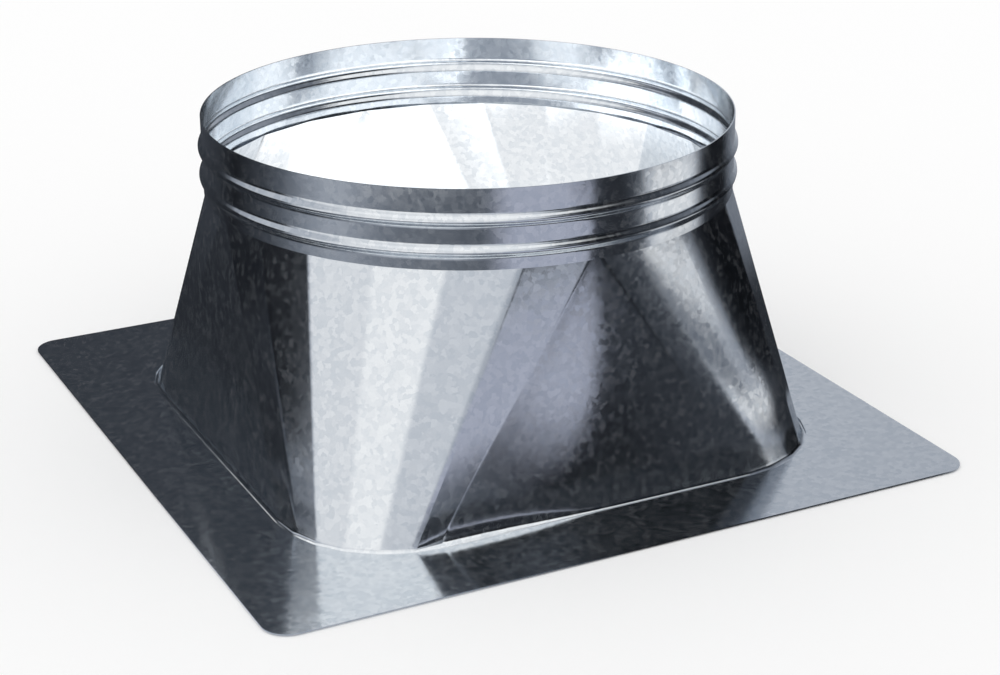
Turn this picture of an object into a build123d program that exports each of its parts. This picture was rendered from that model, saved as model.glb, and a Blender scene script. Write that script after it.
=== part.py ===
"""Roof ventilator base in galvanised sheet steel.

A flat square flange lies on the roof. A throat, bent up from one sheet, goes from a
rounded square at the flange to a round top. A collar with two swaged beads stands on the
throat and takes the ventilator. Millimetres, +Z up, origin at the middle of the underside.
"""

import os
from math import cos, pi, radians, sin

from build123d import *

# Sheet
sheet = 0.7

# Collar: a rolled ring, with its plain bands on this outside diameter
collar_diameter = 315.0
collar_height = 45.5
rim_to_bead = 18.0
bead_pitch = 17.3
bead_width = 8.4
bead_height = 2.2
bead_steps = 6

# Throat: straight-bent panels from a rounded square to a ring of facets
throat_height = 147.5
base_side = 334.0
base_corner_radius = 68.0
facets_per_corner = 6
base_bend_radius = 20.0
top_bend_radius = 25.0
panel_tip_width = 5.0
foot_bend_radius = 2.2
foot_bend_steps = 2
foot_lip_width = 18.0

# Flat lock seam that closes the throat, on its back panel
seam_width = 9.0
seam_layers = 2
seam_end_gap = 2.0

# Flange: a flat plate that lies on the throat's foot lip
flange_margin = 51.0
flange_corner_radius = 15.0

# Fits
neck_lap = 1.5
neck_clearance = 0.1
opening_clearance = 0.3

# Worked out from the sizes above
collar_radius = collar_diameter / 2
collar_bore_radius = collar_radius - sheet
rim_level = throat_height + collar_height
bead_levels = [rim_level - rim_to_bead, rim_level - rim_to_bead - bead_pitch]
neck_level = throat_height + neck_lap
facet_angle = 90 / facets_per_corner
base_flat = base_side - 2 * base_corner_radius
flange_level = sheet
flange_side = base_side + 2 * flange_margin


def faceted_square(flat, corner_radius, bend_radius, level):
    """Closed outline of four straight sides and four corners of equal facets, with rounded bends."""
    points = []
    for quarter in range(4):
        turn = 90 * quarter
        corner = Vector(flat / 2, flat / 2).rotate(Axis.Z, turn)
        for facet in range(facets_per_corner + 1):
            angle = radians(turn + facet * facet_angle)
            reach = Vector(corner_radius * cos(angle), corner_radius * sin(angle))
            points.append(corner + reach + Vector(0, 0, level))
    return Wire(FilletPolyline(*points, radius=bend_radius, close=True).edges())


def neck_corner_radius():
    """Corner radius of the throat's top edge, so that its bends seat in the collar's lower edge."""
    rise = neck_lap / neck_level
    base_reach = base_flat / 2 * 2**0.5 + base_corner_radius
    bend_trim = top_bend_radius * (1 / cos(radians(facet_angle / 2)) - 1)
    seat_reach = collar_bore_radius - neck_clearance + bend_trim
    neck_reach = (seat_reach - rise * base_reach) / (1 - rise)
    return neck_reach - panel_tip_width / 2 * 2**0.5


def wall_outline(level, offset):
    """Outline of the throat's outer face at a level, moved outwards by an offset."""
    share = level / neck_level
    flat = base_flat + share * (panel_tip_width - base_flat)
    corner_radius = base_corner_radius + share * (neck_corner_radius() - base_corner_radius)
    bend_radius = base_bend_radius + share * (top_bend_radius - base_bend_radius)
    return faceted_square(flat, corner_radius + offset, bend_radius + offset, level)


def ruled_block(outlines):
    """Solid with straight walls between outlines of one kind, its panels true planes."""
    faces = [Face(outlines[0]), Face(outlines[-1])]
    for low, high in zip(outlines, outlines[1:]):
        for below, above in zip(low.edges(), high.edges()):
            if below.geom_type == GeomType.LINE:
                corners = [below @ 0, below @ 1, above @ 1, above @ 0]
                faces.append(Face(Wire.make_polygon(corners)))
            else:
                faces.append(Face.make_surface_from_curves(below, above))
    return Solid(Shell(faces))


def throat_block(inset):
    """Solid block inside one face of the throat's sheet, flared at its foot. The inset is 0 or the sheet."""
    bend = foot_bend_radius + inset
    lip_level = sheet - inset
    sections = [wall_outline(lip_level - sheet, bend - inset)]
    for step in range(foot_bend_steps + 1):
        angle = radians(90 * step / foot_bend_steps)
        offset = bend * (1 - sin(angle)) - inset
        sections.append(wall_outline(lip_level + bend * (1 - cos(angle)), offset))
    sections.append(wall_outline(neck_level, -inset))
    return ruled_block(sections)


def foot_lip():
    """Flat lip at the throat's foot, turned out under the flange."""
    return extrude(Face(wall_outline(0, foot_lip_width)), sheet, dir=(0, 0, 1))


def lock_seam():
    """Flat lock seam down the middle of the back panel, from the collar to the foot bend."""
    low = sheet + foot_bend_radius + seam_end_gap
    high = throat_height - seam_end_gap
    height = seam_layers * sheet
    block = ruled_block([wall_outline(low, height), wall_outline(high, height)])
    strip = Box(seam_width, base_side, 2 * rim_level, align=(Align.CENTER, Align.MIN, Align.CENTER))
    return block & strip


def throat():
    """Square-to-round throat, one bent sheet with its foot turned out and its ends locked."""
    return throat_block(0) + foot_lip() + lock_seam() - throat_block(sheet)


def collar_line(radius):
    """One face of the collar's section, from its lower edge up to its rim, with its beads."""
    points = [(radius, throat_height)]
    for level in reversed(bead_levels):
        for step in range(bead_steps + 1):
            along = 2 * step / bead_steps - 1
            swell = bead_height * (1 + cos(pi * along)) / 2
            points.append((radius + swell, level + along * bead_width / 2))
    return points + [(radius, rim_level)]


def collar():
    """Beaded ring, turned from its section about the duct axis."""
    outside = collar_line(collar_radius)
    inside = collar_line(collar_bore_radius)
    section = make_face(Polyline(*outside, *reversed(inside), close=True))
    return revolve(Plane.XZ * section, Axis.Z, 360)


def flange():
    """Flat square plate with rounded corners, open where the throat comes through."""
    reach = foot_bend_radius + opening_clearance
    opening = faceted_square(
        base_flat, base_corner_radius + reach, base_bend_radius + reach, flange_level
    )
    plate = Pos(0, 0, flange_level) * RectangleRounded(flange_side, flange_side, flange_corner_radius)
    return extrude(plate - Face(opening), sheet, dir=(0, 0, 1))


os.makedirs("parts", exist_ok=True)
for name, shape in {"collar": collar(), "throat": throat(), "flange": flange()}.items():
    export_step(shape, f"parts/{name}.step")
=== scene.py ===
# %% [markdown]
# # A roof ventilator base in galvanised sheet
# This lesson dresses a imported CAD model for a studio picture. The object is three pieces of
# galvanised steel: a flat flange, a bent throat that goes from square to round, and a beaded
# collar. The CAD model gives the sizes and the frame, and every piece here follows it.

# %% Load the frame
from math import cos, pi, radians, sin

import bmesh
import bpy
from mathutils import Matrix, Vector


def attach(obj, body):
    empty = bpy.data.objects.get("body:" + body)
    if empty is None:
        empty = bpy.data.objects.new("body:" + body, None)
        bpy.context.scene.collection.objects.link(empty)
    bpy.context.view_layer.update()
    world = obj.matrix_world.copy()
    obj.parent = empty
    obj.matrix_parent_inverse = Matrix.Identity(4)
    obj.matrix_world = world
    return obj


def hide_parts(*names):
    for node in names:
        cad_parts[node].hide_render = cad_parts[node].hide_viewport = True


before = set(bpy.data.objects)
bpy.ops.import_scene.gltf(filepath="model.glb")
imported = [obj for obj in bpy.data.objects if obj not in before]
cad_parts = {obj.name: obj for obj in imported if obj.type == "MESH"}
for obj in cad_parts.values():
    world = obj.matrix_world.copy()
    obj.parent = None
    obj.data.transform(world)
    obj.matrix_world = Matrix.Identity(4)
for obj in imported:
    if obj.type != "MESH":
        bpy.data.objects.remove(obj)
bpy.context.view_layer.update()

scene = bpy.context.scene

# %% [markdown]
# ## Sizes
# The same sizes as in the part's source, in metres. Keeping them in one place lets the
# Blender pieces lie where the solids are. The last lines work out how large the throat's top
# edge has to be for its bends to seat inside the collar.

# %% Sizes of the sheet-metal pieces
SHEET = 0.0007
COLLAR_RADIUS = 0.1575
NECK_EDGE = 0.1475
RIM = 0.193
BEADS = (0.175, 0.1577)
BEAD_WIDTH = 0.0084
BEAD_HEIGHT = 0.0022
NECK = 0.149
BASE_HALF = 0.167
BASE_CORNER = 0.068
BASE_BEND = 0.020
NECK_BEND = 0.025
TIP_WIDTH = 0.005
FACETS = 6
FOOT_BEND = 0.0022
LIP_WIDTH = 0.018
SEAM_WIDTH = 0.009
SEAM_HEIGHT = 2 * SHEET
SEAM_GAP = 0.002
NECK_CLEARANCE = 0.0001
DIAGONAL = 2**0.5

base_flat = 2 * (BASE_HALF - BASE_CORNER)
rise = (NECK - NECK_EDGE) / NECK
half_pitch = radians(90 / FACETS / 2)
bend_trim = NECK_BEND * (1 / cos(half_pitch) - 1)
seat_reach = COLLAR_RADIUS - SHEET - NECK_CLEARANCE + bend_trim
base_reach = base_flat / 2 * DIAGONAL + BASE_CORNER
neck_reach = (seat_reach - rise * base_reach) / (1 - rise)
neck_corner = neck_reach - TIP_WIDTH / 2 * DIAGONAL
print("corner radius of the throat's top edge:", round(neck_corner * 1000, 2), "mm")

# %% [markdown]
# ## Node maths in Python
# Shader and geometry trees both grow out of sums. A small class wraps one socket, so that
# `1 - mask` or `2 * height` adds the Math node by itself. Every other node comes from one
# method, which sets the node's options first and its sockets afterwards.


# %% A socket that can be used in sums
class Flow:
    """One output socket of a node tree, with arithmetic."""

    def __init__(self, tree, socket=None):
        self.tree = tree
        self.socket = socket

    def node(self, kind, options=None, sockets=None, out=0):
        """Adds a node and gives one of its outputs, by name or by number."""
        made = self.tree.nodes.new(kind)
        for name, value in (options or {}).items():
            if name == "stops":
                ramp = made.color_ramp
                while len(ramp.elements) < len(value):
                    ramp.elements.new(0.5)
                for stop, (place, colour) in zip(ramp.elements, value):
                    stop.position = place
                    stop.color = (*colour, 1)
            else:
                setattr(made, name, value)
        for name, value in (sockets or {}).items():
            if isinstance(value, Flow):
                self.tree.links.new(value.socket, made.inputs[name])
            else:
                made.inputs[name].default_value = value
        return Flow(self.tree, made.outputs[out])

    def math(self, operation, *others):
        sockets = {place: value for place, value in enumerate((self, *others))}
        return self.node("ShaderNodeMath", {"operation": operation}, sockets)

    def flipped(self, operation, other):
        return self.node("ShaderNodeMath", {"operation": operation}, {0: other, 1: self})

    def vector(self, operation, other):
        return self.node("ShaderNodeVectorMath", {"operation": operation}, {0: self, 1: other})

    def scaled(self, factor):
        return self.node("ShaderNodeVectorMath", {"operation": "SCALE"}, {0: self, "Scale": factor})

    def part(self, axis):
        return self.node("ShaderNodeSeparateXYZ", None, {0: self}, axis)

    def blend(self, other, share):
        return self + (other - self) * share

    def band(self, low, high):
        """0 below low, 1 above high, smooth between."""
        options = {"interpolation_type": "SMOOTHSTEP"}
        return self.node("ShaderNodeMapRange", options, {0: self, 1: low, 2: high})

    def __add__(self, other):
        return self.math("ADD", other)

    def __sub__(self, other):
        return self.math("SUBTRACT", other)

    def __mul__(self, other):
        return self.math("MULTIPLY", other)

    def __truediv__(self, other):
        return self.math("DIVIDE", other)

    def __radd__(self, other):
        return self.flipped("ADD", other)

    def __rsub__(self, other):
        return self.flipped("SUBTRACT", other)

    def __rmul__(self, other):
        return self.flipped("MULTIPLY", other)

    def __rtruediv__(self, other):
        return self.flipped("DIVIDE", other)


print("sums on sockets are ready")

# %% [markdown]
# ## Camera
# The picture was taken from above the front left. The camera's place, aim and lens were found
# by fitting the rim, the flange's corners and the collar's edges to the photograph, so that
# the outlines fall where they do there. The heading is counted from +Y towards +X, the tilt
# is downwards, and the roll is very small.

# %% Place the camera
CAMERA_PLACE = Vector((-0.54435, -1.11896, 0.55464))
HEADING = radians(26.7903)
TILT = radians(22.3024)
ROLL = radians(-0.204)
SENSOR_WIDTH = 36
FOCAL_LENGTH = 78.43
FAR_LIMIT = 50

lens = bpy.data.cameras.new("camera")
lens.sensor_width = SENSOR_WIDTH
lens.lens = FOCAL_LENGTH
lens.clip_end = FAR_LIMIT
camera = bpy.data.objects.new("camera", lens)
level_aim = Matrix.Rotation(-HEADING, 4, "Z") @ Matrix.Rotation(pi / 2 - TILT, 4, "X")
aim = level_aim @ Matrix.Rotation(ROLL, 4, "Z")
camera.matrix_world = Matrix.Translation(CAMERA_PLACE) @ aim
scene.collection.objects.link(camera)
scene.camera = camera
print("camera", round(CAMERA_PLACE.length, 3), "m from the middle of the flange")

# %% [markdown]
# ## Galvanised steel
# Hot-dip zinc freezes in flat crystals, the spangle. Each crystal is a small mirror tilted its
# own way, so the sheet is a patchwork of lighter and darker leaves. Voronoi cells give the
# leaves, a warp makes them ragged, and each cell gets its own colour, roughness and tilt. The
# tilt leans the shading normal by the same small amount over a whole leaf, so that a leaf stays
# flat and no crease shows between two. A slow noise adds the waves that thin sheet always has,
# and a fine one its grain. A few leaves are duller, which here means a little less metallic.

# %% Spangled zinc
LEAF_SIZE = 0.0032
LEAF_WARP = 1.3
WARP_DETAIL = 5.0
WARP_ROUGHNESS = 0.62
LEAF_LEAN = 0.014
WAVE_HEIGHT = 0.0003
GRAIN_HEIGHT = 0.000002
CLOUDS_PER_METRE = 18.0
GRAINS_PER_METRE = 900.0
WAVES_PER_METRE = 9.0
LEAF_SHARE = 0.55
CLOUD_SHARE = 0.25
GRAIN_SHARE = 0.2
LEAST_ROUGHNESS = 0.09
ROUGHER_LEAF = 0.06
ROUGHER_CLOUD = 0.04
DULLER_LEAF = 0.03
MIDDLE_GREY = (0.5, 0.5, 0.5)
ZINC_TONES = [
    (0.25, (0.665, 0.705, 0.745)),
    (0.5, (0.725, 0.757, 0.79)),
    (0.75, (0.783, 0.812, 0.838)),
]


def noise(place, scale, detail, roughness=0.5, out=0):
    """Noise over a place, as one value, or as a colour of three."""
    sockets = {"Vector": place, "Scale": scale, "Detail": detail, "Roughness": roughness}
    return place.node("ShaderNodeTexNoise", None, sockets, out)


def zinc(name, leaf, waves):
    """Zinc coat with leaves of one size, in metres, and waves of one height."""
    material = bpy.data.materials.new(name)
    material.use_nodes = True
    tree = material.node_tree
    place = Flow(tree).node("ShaderNodeTexCoord", out="Object")
    warp = noise(place, LEAF_WARP / leaf, WARP_DETAIL, WARP_ROUGHNESS, "Color")
    shift = warp.vector("SUBTRACT", MIDDLE_GREY).scaled(LEAF_WARP * leaf)
    ragged = place.vector("ADD", shift)
    cells = {"Vector": ragged, "Scale": 1 / leaf, "Randomness": 1.0}
    tint = place.node("ShaderNodeTexVoronoi", None, cells, "Color")
    light, shine = tint.part(0), tint.part(1)
    lean = tint.vector("SUBTRACT", MIDDLE_GREY).scaled(LEAF_LEAN)
    upright = place.node("ShaderNodeNewGeometry", out="Normal")
    leaning = upright.vector("ADD", lean).vector("NORMALIZE", (0, 0, 0))
    cloud = noise(place, CLOUDS_PER_METRE, 2.0)
    grain = noise(place, GRAINS_PER_METRE, 2.0)
    wave = noise(place, WAVES_PER_METRE, 1.0)
    mix = light * LEAF_SHARE + cloud * CLOUD_SHARE + grain * GRAIN_SHARE
    glint = shine * shine
    height = wave * waves + grain * GRAIN_HEIGHT
    relief = {"Strength": 1.0, "Distance": 1.0, "Height": height, "Normal": leaning}
    finish = {
        "Base Color": place.node("ShaderNodeValToRGB", {"stops": ZINC_TONES}, {0: mix}),
        "Roughness": LEAST_ROUGHNESS + shine * ROUGHER_LEAF + cloud * ROUGHER_CLOUD,
        "Metallic": 1 - glint * glint * DULLER_LEAF,
        "Normal": place.node("ShaderNodeBump", None, relief),
    }
    for label, value in finish.items():
        tree.links.new(value.socket, tree.nodes["Principled BSDF"].inputs[label])
    print(name, "has", len(tree.nodes), "nodes")
    return material


steel = zinc("galvanised_steel", LEAF_SIZE, WAVE_HEIGHT)

# %% [markdown]
# ## From a rule to a mesh
# The collar and the throat both follow a rule: one section of sheet, carried round an outline.
# Geometry Nodes is made for that. A grid gets its points placed by sums on their own row and
# column, its open edges are merged, and the edges of the cut sheet are kept sharp.

# %% Helpers for the two trees
MERGE_DISTANCE = 0.000005
SHARP_ANGLE = 0.6


def rule_tree(name, sizes):
    """An empty geometry tree with one named input for each size, and its inputs as flows."""
    tree = bpy.data.node_groups.new(name, "GeometryNodeTree")
    tree.interface.new_socket("Mesh", in_out="OUTPUT", socket_type="NodeSocketGeometry")
    for label, value in sizes.items():
        kind = "NodeSocketInt" if isinstance(value, int) else "NodeSocketFloat"
        tree.interface.new_socket(label, in_out="INPUT", socket_type=kind)
    entry = tree.nodes.new("NodeGroupInput")
    return tree, {label: Flow(tree, entry.outputs[label]) for label in sizes}


def column_and_row(flow, columns, rows):
    """A unit grid, and each point's column and row number."""
    sockets = {"Size X": 1.0, "Size Y": 1.0, "Vertices X": columns + 1, "Vertices Y": rows + 1}
    grid = flow.node("GeometryNodeMeshGrid", None, sockets)
    place = flow.node("GeometryNodeInputPosition")
    column = ((place.part(0) + 0.5) * columns).math("ROUND")
    row = ((place.part(1) + 0.5) * rows).math("ROUND")
    return grid, column, row


def close_tree(flow, grid, places, material):
    """Moves a grid's points to their places, closes its seams and finishes the tree."""
    moved = flow.node("GeometryNodeSetPosition", None, {"Geometry": grid, "Position": places})
    merging = {"Geometry": moved, "Distance": MERGE_DISTANCE}
    closed = flow.node("GeometryNodeMergeByDistance", None, merging)
    smooth = flow.node("GeometryNodeSetShadeSmooth", None, {"Geometry": closed, "Shade Smooth": True})
    corner = flow.node("GeometryNodeInputMeshEdgeAngle").math("GREATER_THAN", SHARP_ANGLE)
    sharpening = {"Geometry": smooth, "Selection": corner, "Shade Smooth": False}
    sharp = flow.node("GeometryNodeSetShadeSmooth", {"domain": "EDGE"}, sharpening)
    real = flow.node("GeometryNodeRealizeInstances", None, {"Geometry": sharp})
    painted = flow.node("GeometryNodeSetMaterial", None, {"Geometry": real, "Material": material})
    exit_node = flow.tree.nodes.new("NodeGroupOutput")
    flow.tree.links.new(painted.socket, exit_node.inputs["Mesh"])


def grow(name, tree, sizes, material):
    """Runs a tree once and keeps the result as a plain mesh."""
    seed = bpy.data.objects.new(name, bpy.data.meshes.new(name + "_seed"))
    scene.collection.objects.link(seed)
    modifier = seed.modifiers.new("rule", "NODES")
    modifier.node_group = tree
    inputs = [item for item in tree.interface.items_tree if item.in_out == "INPUT"]
    for item in inputs:
        modifier[item.identifier] = sizes[item.name]
    bpy.context.view_layer.update()
    seen = seed.evaluated_get(bpy.context.evaluated_depsgraph_get())
    mesh = bpy.data.meshes.new_from_object(seen)
    seed.modifiers.remove(modifier)
    seed.data = mesh
    mesh.name = name
    shell = bmesh.new()
    shell.from_mesh(mesh)
    bmesh.ops.recalc_face_normals(shell, faces=shell.faces)
    loose = sum(1 for edge in shell.edges if len(edge.link_faces) != 2)
    shell.to_mesh(mesh)
    shell.free()
    mesh.materials.clear()
    mesh.materials.append(material)
    mesh.polygons.foreach_set("material_index", [0] * len(mesh.polygons))
    print(name, len(mesh.polygons), "faces,", loose, "open edges")
    return seed


print("tree helpers are ready")

# %% [markdown]
# ## Collar
# A strip of sheet is rolled into a ring, and two beads are swaged outwards to stiffen it and
# to stop a sleeve. The section runs up the outside and down the inside, and the columns carry
# it round the duct axis. A sweep along a circle would do as well, but a rule keeps the sheet's
# thickness and the beads in named inputs.

# %% Grow the collar
collar_sizes = {
    "Radius": COLLAR_RADIUS,
    "Sheet": SHEET,
    "Lower Edge": NECK_EDGE,
    "Rim": RIM,
    "Upper Bead": BEADS[0],
    "Lower Bead": BEADS[1],
    "Bead Width": BEAD_WIDTH,
    "Bead Height": BEAD_HEIGHT,
    "Around": 240,
    "Along": 72,
}
collar_tree, size = rule_tree("beaded ring", collar_sizes)
flow = size["Radius"]
along = size["Along"]
last_row = 2 * along + 2
grid, column, row = column_and_row(flow, size["Around"], last_row)
inside = row.math("GREATER_THAN", along) * row.math("LESS_THAN", last_row)
climb = row / along
fall = 1 - (row - along - 1) / along
back_at_start = row.math("GREATER_THAN", last_row - 0.5)
share = climb.blend(fall, inside) * (1 - back_at_start)
level = size["Lower Edge"] + share * (size["Rim"] - size["Lower Edge"])
swell = 0
for bead in ("Upper Bead", "Lower Bead"):
    off = ((level - size[bead]) / (size["Bead Width"] / 2)).math("ABSOLUTE").math("MINIMUM", 1.0)
    swell = ((off * pi).math("COSINE") + 1) / 2 + swell
reach = size["Radius"] + swell * size["Bead Height"] - inside * size["Sheet"]
turn = column / size["Around"] * (2 * pi)
spot = {0: reach * turn.math("COSINE"), 1: reach * turn.math("SINE"), 2: level}
close_tree(flow, grid, flow.node("ShaderNodeCombineXYZ", None, spot), steel)
collar = grow("beaded_collar", collar_tree, collar_sizes, steel)

# %% [markdown]
# ## Throat
# The throat is one sheet, marked out, bent along straight lines and turned out at its foot.
# Its section has the lip, the foot bend and both faces of the sheet. It is drawn first, as a
# short list of points that the tree then reads row by row. The wall's rows stand closer near
# the foot, where the sheet is curved most.

# %% Section of the bent sheet
ARC_STEPS = 6
FOOT_LEVELS = (0.004, 0.005, 0.0065, 0.008, 0.01, 0.013, 0.018, 0.026)
WALL_LEVELS = (*FOOT_LEVELS, 0.038, 0.055, 0.075, 0.1, 0.125, NECK)


def sheet_face(inset):
    """Offsets and levels up one face of the sheet, from the lip's edge to the neck."""
    bend = FOOT_BEND + inset
    lip_level = SHEET - inset
    line = [(LIP_WIDTH, 0, lip_level)]
    for step in range(ARC_STEPS + 1):
        angle = pi / 2 * step / ARC_STEPS
        line.append((bend * (1 - sin(angle)) - inset, 0, lip_level + bend * (1 - cos(angle))))
    return line + [(-inset, 0, level) for level in WALL_LEVELS]


section_points = sheet_face(0) + sheet_face(SHEET)[::-1]
section_points.append(section_points[0])
section = bpy.data.objects.new("section", bpy.data.meshes.new("section"))
section.data.from_pydata(section_points, [], [])
scene.collection.objects.link(section)
print("section of", len(section_points), "points")

# %% [markdown]
# ## Rows and columns of the throat
# A row of the grid is one point of the section, so the tree looks up its offset and its level
# there. The columns go round in four quarters. Each has the bends of one corner and then one
# flat panel, which gets columns of its own so that it can be dished.

# %% Lay out the throat's grid
throat_sizes = {
    "Base Flat": base_flat,
    "Neck Flat": TIP_WIDTH,
    "Base Corner": BASE_CORNER,
    "Neck Corner": neck_corner,
    "Base Bend": BASE_BEND,
    "Neck Bend": NECK_BEND,
    "Neck Level": NECK,
    "Dish Depth": 0.004,
    "Dish Height": 0.0035,
    "Rounder": 5.0,
    "Facets": FACETS,
    "Bend Steps": 6,
    "Flat Steps": 16,
}
throat_tree, size = rule_tree("bent throat", throat_sizes)
flow = size["Base Flat"]
per_bend = size["Bend Steps"] + 1
bends = (size["Facets"] + 1) * per_bend
per_corner = bends + size["Flat Steps"] - 1
grid, column, row = column_and_row(flow, 4 * per_corner, len(section_points) - 1)
lookup = {
    "Geometry": flow.node("GeometryNodeObjectInfo", None, {"Object": section}, "Geometry"),
    "Value": flow.node("GeometryNodeInputPosition"),
    "Index": row,
}
point_data = {"data_type": "FLOAT_VECTOR", "domain": "POINT"}
from_section = flow.node("GeometryNodeSampleIndex", point_data, lookup)
level = from_section.part(2)
share = level / size["Neck Level"]
print("throat has", len(throat_sizes), "named inputs")

# %% [markdown]
# ## Bends of the throat
# Every corner has seven bends, so the top is a ring of flat facets inside the round collar. A
# bend is a small arc between two flat panels. The sums below find each column's bend, the
# directions of the two panels beside it and the direction of the point on the arc.

# %% Find each column's bend
quarter = (column / per_corner).math("FLOOR")
within = column - quarter * per_corner
along_flat = (within - bends + 1).math("MAXIMUM", 0.0) / size["Flat Steps"]
fold = (within / per_bend).math("FLOOR").math("MINIMUM", size["Facets"])
step = ((within - fold * per_bend) / size["Bend Steps"]).math("MINIMUM", 1.0)
pitch = (pi / 2) / size["Facets"]
facing = fold * pitch
before = (facing - pitch / 2).math("MAXIMUM", 0.0)
after = (facing + pitch / 2).math("MINIMUM", pi / 2)
middle = (before + after) / 2
normal = before.blend(after, step)
print("bends of each corner:", FACETS + 1)

# %% [markdown]
# ## Marks of hand work
# Sheet that is bent by hand is never quite flat. The front panel is dished a little above its
# foot at the left, which shows as a wide light line, and two bends of the corner at the front
# right are rounder towards the top. Both are small, so the throat still fills the solid's
# place.

# %% Dish one panel and soften one corner
FRONT_PANEL = 2.0
RIGHT_CORNER = 3.0
TOLERANCE = 0.1
DISH_START = 2 * SHEET
DISH_SIDES = (0.05, 0.62)
DISH_FADE = (0.02, 0.14)
SOFT_FOLDS = (1.0, 2.0)

on_flat = fold.math("COMPARE", size["Facets"], TOLERANCE) * (1 - along_flat.band(*DISH_SIDES))
at_front = quarter.math("COMPARE", FRONT_PANEL, TOLERANCE) * on_flat
climb = (level - DISH_START).math("MAXIMUM", 0.0) / size["Dish Height"]
hollow = (1 - (0 - climb).math("EXPONENT")) * (1 - level.band(*DISH_FADE))
offset = from_section.part(0) - at_front * size["Dish Depth"] * hollow

first_fold, second_fold = [fold.math("COMPARE", number, TOLERANCE) for number in SOFT_FOLDS]
at_right = quarter.math("COMPARE", RIGHT_CORNER, TOLERANCE) * (first_fold + second_fold)
rounder = 1 + at_right * size["Rounder"] * share.math("SQRT")
print("dish of", throat_sizes["Dish Depth"] * 1000, "mm at most")

# %% [markdown]
# ## The bent sheet
# The widths and radii of the foot and of the top are known, and everything between is straight.
# So each level blends the two, the arc's centre follows from the radius, and the quarter is
# turned to its side. Both faces of the sheet come from the same sums, with another offset.

# %% Grow the throat
flat = size["Base Flat"].blend(size["Neck Flat"], share)
corner = size["Base Corner"].blend(size["Neck Corner"], share) + offset
bend = size["Base Bend"].blend(size["Neck Bend"], share) * rounder + offset
pull = bend / ((after - before) / 2).math("COSINE")


def along_axis(wave):
    """One coordinate of a point on its arc, by cosine or by sine."""
    centre = flat / 2 + corner * facing.math(wave) - pull * middle.math(wave)
    return centre + bend * normal.math(wave)


spot = {0: along_axis("COSINE") * (1 - 2 * along_flat), 1: along_axis("SINE"), 2: level}
flat_spot = flow.node("ShaderNodeCombineXYZ", None, spot)
turning = {"Vector": flat_spot, "Angle": quarter * (pi / 2)}
turned = flow.node("ShaderNodeVectorRotate", {"rotation_type": "Z_AXIS"}, turning)
close_tree(flow, grid, turned, steel)
throat = grow("bent_throat", throat_tree, throat_sizes, steel)
bpy.data.objects.remove(section)

# %% [markdown]
# ## Lock seam
# The throat's two ends meet at the back, hidden from the picture's side. Their edges are hooked
# into each other and pressed flat, so the seam is a narrow strip that stands two sheets proud.
# It is one piece with the throat, and its edges are rounded by the folding.

# %% Press the seam onto the back panel
SEAM_ROUNDING = 0.0004
SEAM_CORNER_ANGLE = 0.5


def wall_reach(level):
    """Distance of a flat panel's outer face from the duct axis."""
    share = level / NECK
    flat = base_flat + share * (TIP_WIDTH - base_flat)
    return flat / 2 + BASE_CORNER + share * (neck_corner - BASE_CORNER)


shell = bmesh.new()
shell.from_mesh(throat.data)
strip = []
for level in (SHEET + FOOT_BEND + SEAM_GAP, NECK_EDGE - SEAM_GAP):
    for side in (-SEAM_WIDTH / 2, SEAM_WIDTH / 2):
        for lift in (-SHEET / 2, SEAM_HEIGHT):
            strip.append(shell.verts.new((side, wall_reach(level) + lift, level)))
hull = bmesh.ops.convex_hull(shell, input=strip)
made_edges = [item for item in hull["geom"] if isinstance(item, bmesh.types.BMEdge)]
made_faces = [item for item in hull["geom"] if isinstance(item, bmesh.types.BMFace)]
bmesh.ops.recalc_face_normals(shell, faces=made_faces)
corners = [edge for edge in made_edges if edge.calc_face_angle(0) > SEAM_CORNER_ANGLE]
bmesh.ops.bevel(shell, geom=corners, offset=SEAM_ROUNDING, segments=3, profile=0.5, affect="EDGES")
shell.to_mesh(throat.data)
shell.free()
print("seam pressed,", len(throat.data.polygons), "faces in the throat")

# %% [markdown]
# ## Flange
# The flange is a plain flat plate, and its solid already has the right shape. It stays as the
# CAD model made it, and only takes the zinc.

# %% Paint the flange
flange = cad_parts["flange"]
flange.data.materials.clear()
flange.data.materials.append(steel)
print("flange painted")

# %% [markdown]
# ## Who stands for what
# Each new piece takes the place of its CAD solid in the picture and rides on the same body.

# %% Join the pieces to the frame
for piece, node in ((collar, "collar"), (throat, "throat")):
    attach(piece, "root")
    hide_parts(node)
print("pieces:", [piece.name for piece in (collar, throat)])

# %% [markdown]
# ## Light tent
# The sheet is a soft mirror, so it looks like what stands around it. A photographer puts white
# boards and dark cloths round such a thing. Here a dome with a flat floor does that work. Only
# reflections see it, so it neither shows in the picture nor lights the white floor.

# %% Put up the tent
TENT_RADIUS = 1.6
TENT_FLOOR = -0.001


def tent(name, radius):
    """A dome and its floor, seen by reflections alone."""
    dome = bmesh.new()
    bmesh.ops.create_uvsphere(dome, u_segments=64, v_segments=32, radius=radius)
    for point in dome.verts:
        point.co.z = max(point.co.z, TENT_FLOOR)
    made = bpy.data.objects.new(name, bpy.data.meshes.new(name))
    dome.to_mesh(made.data)
    dome.free()
    scene.collection.objects.link(made)
    made.visible_camera = False
    made.visible_diffuse = False
    made.visible_shadow = False
    made.visible_transmission = False
    return made


light_tent = tent("light_tent", TENT_RADIUS)
print("tent of", len(light_tent.data.polygons), "faces")
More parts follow.
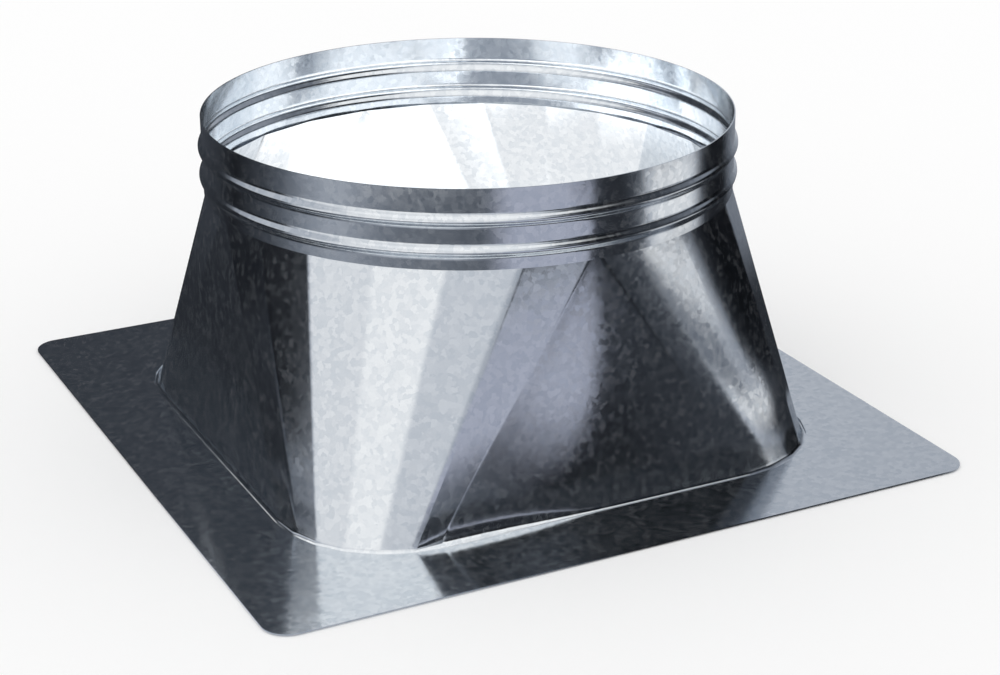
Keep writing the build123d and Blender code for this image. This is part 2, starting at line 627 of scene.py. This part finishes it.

# %% [markdown]
# ## Panels of the tent
# The panels stand in rings, and a ring is a list of bearings and strengths: -90 degrees is the
# front, 0 the right, 90 the back. Strengths between two bearings are blended. They were set
# until the bright and dark parts of the metal fell nearly as in the picture. Three rings
# lie on the floor, because the camera looks down and upright metal then mirrors mostly that.
# Two stand on the wall, for the flange, the sloping corner facets and the beads.

# %% Strengths of the panels
MIDDLE_FLOOR = [
    (-180, 2.4), (-165, 0.58), (-110, 0.52), (-80, 1.7), (35, 1.7), (55, 1.1), (88, 1.1),
    (100, 1.7), (140, 1.7), (155, 2.6), (180, 2.4),
]
NEAR_FLOOR = [
    (-180, 0.04), (-170, 0.08), (-160, 0.25), (-145, 0.5), (-122, 0.5), (-110, 0.2),
    (-102, 0.11), (-92, 0.015), (-75, 0.02), (-64, 0.045), (-48, 0.05), (-45, 0.5),
    (-38, 0.4), (-33, 0.15), (-28, 0.03), (180, 0.03),
]
FAR_FLOOR = [
    (-180, 0.3), (-172, 0.42), (-164, 0.42), (-152, 0.25), (-142, 0.18), (-125, 0.14),
    (-113, 0.12), (-104, 0.14), (-97, 0.055), (-60, 0.035), (-56, 0.03), (-52, 0.06),
    (-48, 0.1), (-44, 0.7), (-39, 0.95), (-22, 0.95), (-17, 0.7), (-12, 0.1), (-8, 0.012),
    (10, 0.012), (22, 0.2), (40, 0.3), (90, 0.06), (122, 0.042), (140, 0.014), (158, 0.06),
    (168, 0.12), (180, 0.3),
]
WALL = [
    (-180, 0.88), (-165, 0.9), (-150, 1.05), (-132, 1.05), (-120, 0.76), (-106, 0.74),
    (-98, 0.55), (-88, 0.5), (-78, 0.48), (-74, 0.04), (-56, 0.02), (-50, 0.06), (-47, 0.14),
    (-44, 0.95), (-23, 0.85), (-19, 0.35), (-14, 0.03), (-8, 0.012), (0, 0.006), (12, 0.01),
    (22, 0.2), (38, 0.52), (50, 0.56), (62, 0.3), (74, 0.06), (160, 0.014), (167, 0.018),
    (172, 0.5), (177, 0.86), (180, 0.88),
]
UPPER_WALL = [
    (-180, 0.6), (-170, 0.9), (-100, 1.0), (-85, 0.7), (-76, 0.12), (-68, 0.012), (-50, 0.012),
    (-44, 0.04), (-28, 0.06), (0, 0.3), (24, 0.35), (38, 0.52), (50, 0.56), (62, 0.3),
    (74, 0.06), (100, 0.05), (126, 0.06), (134, 0.45), (146, 0.6), (180, 0.6),
]
FRONT_SHADE = [(-47, 0.2), (-30, 0.2), (-25, 0.38), (-15, 0.38)]
ROOF = 1.1
rings = (MIDDLE_FLOOR, NEAR_FLOOR, FAR_FLOOR, WALL, UPPER_WALL)
print("stops in the rings:", [len(ring) for ring in rings])

# %% [markdown]
# ## Tools for painting the tent
# A ring becomes a colour ramp along the bearing. Weak light is a little bluer than strong
# light, like the shaded metal in the picture. A layer lies over what was painted before
# wherever its mask is 1, and a window is such a mask with four soft edges.

# %% Rings, layers and windows
COOLER = (-0.16, -0.05, 0.16)
SOFT_SIDE = 1.44
SOFT_LEVEL = 0.02


def tone(value):
    """A grey of one strength, bluer where it is darker."""
    shade = 1 - min(value, 1)
    return tuple(value * (1 + lean * shade) for lean in COOLER)


def ring_of(bearing, strengths):
    """A ring of panels, from strengths by bearing in degrees."""
    stops = [(angle / 360 + 0.5, tone(value)) for angle, value in strengths]
    return bearing.node("ShaderNodeValToRGB", {"stops": stops}, {0: bearing / 360 + 0.5})


def layer(under, over, mask):
    """Lays a ring, a colour or a grey strength over what is there, where the mask is 1."""
    if isinstance(over, float):
        over = tone(over)
    if isinstance(over, tuple):
        over = (*over, 1)
    # The Mix node has sockets for each kind of data, and these are the ones for colours.
    sockets = {0: mask, 6: under, 7: over}
    return under.node("ShaderNodeMix", {"data_type": "RGBA"}, sockets, 2)


def window(bearing, up, sides, levels):
    """A mask with soft edges, between two bearings and two levels."""
    left, right = [bearing.band(side - SOFT_SIDE, side + SOFT_SIDE) for side in sides]
    low, high = [up.band(level - SOFT_LEVEL, level + SOFT_LEVEL) for level in levels]
    return left * (1 - right) * low * (1 - high)


print("a tone of 0.5 is", [round(part, 3) for part in tone(0.5)])

# %% [markdown]
# ## Painting the tent
# The rings of the floor and the wall come first. Over them lie a dim strip along the wall's
# foot at the front right, a dark cloth on the wall at the front, and a lilac card on the floor
# whose slanting edge is mirrored in the front panel. Last come the upper wall with a bright and
# a dim window at the back, and the white roof with a dim part to the right. Most edges are soft,
# so each has a start and an end, in metres or in degrees of bearing.

# %% Edges of the layers
MIDDLE_EDGE = (0.19, 0.21)
NEAR_EDGE = (0.38, 0.6)
FAR_EDGE = (0.78, 0.96)
WALL_FOOT = (0.0, 0.02)
UPPER_EDGE = (0.33 * TENT_RADIUS, 0.41 * TENT_RADIUS)
ROOF_EDGE = (0.7 * TENT_RADIUS, 0.78 * TENT_RADIUS)

SHADE_LEFT = (-47.16, -45)
SHADE_RIGHT = (-19.8, -14.4)
SHADE_START = (0.715, 0.76)
SHADE_TOP = (0.01, 0.07)

CARD_COLOUR = (0.465, 0.485, 0.58)
CARD_SLANT = 0.616
CARD_OFFSET = 0.1475
CARD_EDGE = (-0.005, 0.005)
CARD_START = (0.22, 0.4)
CARD_LEFT = (-111.6, -99)
CARD_BACK = (-0.25, -0.2)
CARD_TOP = (0.0, 0.03)
CARD_CUT_START = (0.68, 0.8)
CARD_CUT_LEFT = (-78.84, -74.88)

CLOTH = 0.03
BRIGHT = 0.9
DIM = 0.13
DIM_ON_ROOF = 0.2
TO_THE_TOP = 2
CLOTH_LEFT = ((-88, -48), (0.075, TO_THE_TOP))
CLOTH_RIGHT = ((-48, -17), (0.16, TO_THE_TOP))
BRIGHT_WINDOW = ((90, 102), (0.84, 0.96))
DIM_WINDOW = ((128, 152), (1.03, TO_THE_TOP))
DIM_ROOF = ((-28, 62), (1.06, 1.46))
print("upper wall from", round(UPPER_EDGE[0], 3), "m, roof from", round(ROOF_EDGE[0], 3), "m")

# %% [markdown]
# ## Layer on layer
# The layers are laid over each other in that order, each on what is there already. The tent
# shines by itself, so the colour goes to an Emission shader, and the scene needs no lamp.


# %% Paint the tent
def tent_light(name):
    """The tent's glow, painted by bearing, distance from the duct axis and level."""
    material = bpy.data.materials.new(name)
    material.use_nodes = True
    tree = material.node_tree
    tree.nodes.clear()
    place = Flow(tree).node("ShaderNodeTexCoord", out="Object")
    east, north, up = [place.part(axis) for axis in range(3)]
    bearing = north.math("ARCTAN2", east) * (180 / pi)
    reach = (east * east + north * north).math("SQRT")

    wall = ring_of(bearing, WALL)
    glow = layer(ring_of(bearing, NEAR_FLOOR), ring_of(bearing, FAR_FLOOR), reach.band(*NEAR_EDGE))
    glow = layer(glow, wall, reach.band(*FAR_EDGE))
    glow = layer(ring_of(bearing, MIDDLE_FLOOR), glow, reach.band(*MIDDLE_EDGE))
    glow = layer(glow, wall, up.band(*WALL_FOOT))

    strip = bearing.band(*SHADE_LEFT) * (1 - bearing.band(*SHADE_RIGHT))
    strip = strip * reach.band(*SHADE_START) * (1 - up.band(*SHADE_TOP))
    glow = layer(glow, ring_of(bearing, FRONT_SHADE), strip)
    cloth = window(bearing, up, *CLOTH_LEFT) + window(bearing, up, *CLOTH_RIGHT)
    glow = layer(glow, CLOTH, cloth)

    beyond = (east + north * CARD_SLANT + CARD_OFFSET).band(*CARD_EDGE)
    cut = reach.band(*CARD_CUT_START) * bearing.band(*CARD_CUT_LEFT)
    card = (1 - beyond) * (1 - cut) * reach.band(*CARD_START) * bearing.band(*CARD_LEFT)
    card = card * (1 - north.band(*CARD_BACK)) * (1 - up.band(*CARD_TOP))
    glow = layer(glow, CARD_COLOUR, card)

    glow = layer(glow, ring_of(bearing, UPPER_WALL), up.band(*UPPER_EDGE))
    glow = layer(glow, BRIGHT, window(bearing, up, *BRIGHT_WINDOW))
    glow = layer(glow, DIM, window(bearing, up, *DIM_WINDOW))
    glow = layer(glow, ROOF, up.band(*ROOF_EDGE))
    glow = layer(glow, DIM_ON_ROOF, window(bearing, up, *DIM_ROOF))

    lamp = glow.node("ShaderNodeEmission", None, {"Color": glow, "Strength": 1.0})
    exit_node = tree.nodes.new("ShaderNodeOutputMaterial")
    tree.links.new(lamp.socket, exit_node.inputs["Surface"])
    print(name, "has", len(tree.nodes), "nodes")
    return material


light_tent.data.materials.append(tent_light("tent_panels"))

# %% [markdown]
# ## Floor and background
# The object stands on a large sheet of matt white paper in a white room, so that it keeps a
# soft shadow under its edge. The metal doesn't mirror the paper, because the tent's floor
# takes its place there.

# %% Lay the floor and light the room
FLOOR_HALF = 9
PAPER = {"Base Color": (0.99, 0.99, 0.99, 1), "Roughness": 1.0, "Specular IOR Level": 0.0}
ROOM = {"Color": (1, 1, 1, 1), "Strength": 1.0}

floor_corners = [(FLOOR_HALF * x, FLOOR_HALF * y, 0) for x, y in ((-1, -1), (1, -1), (1, 1), (-1, 1))]
floor_mesh = bpy.data.meshes.new("floor")
floor_mesh.from_pydata(floor_corners, [], [(0, 1, 2, 3)])
floor = bpy.data.objects.new("floor", floor_mesh)
scene.collection.objects.link(floor)
floor.visible_glossy = False
paper = bpy.data.materials.new("white_paper")
paper.use_nodes = True
for label, value in PAPER.items():
    paper.node_tree.nodes["Principled BSDF"].inputs[label].default_value = value
floor_mesh.materials.append(paper)

world = bpy.data.worlds.new("white room")
world.use_nodes = True
for label, value in ROOM.items():
    world.node_tree.nodes["Background"].inputs[label].default_value = value
scene.world = world
scene.view_settings.view_transform = "Standard"
print("floor and background are white")
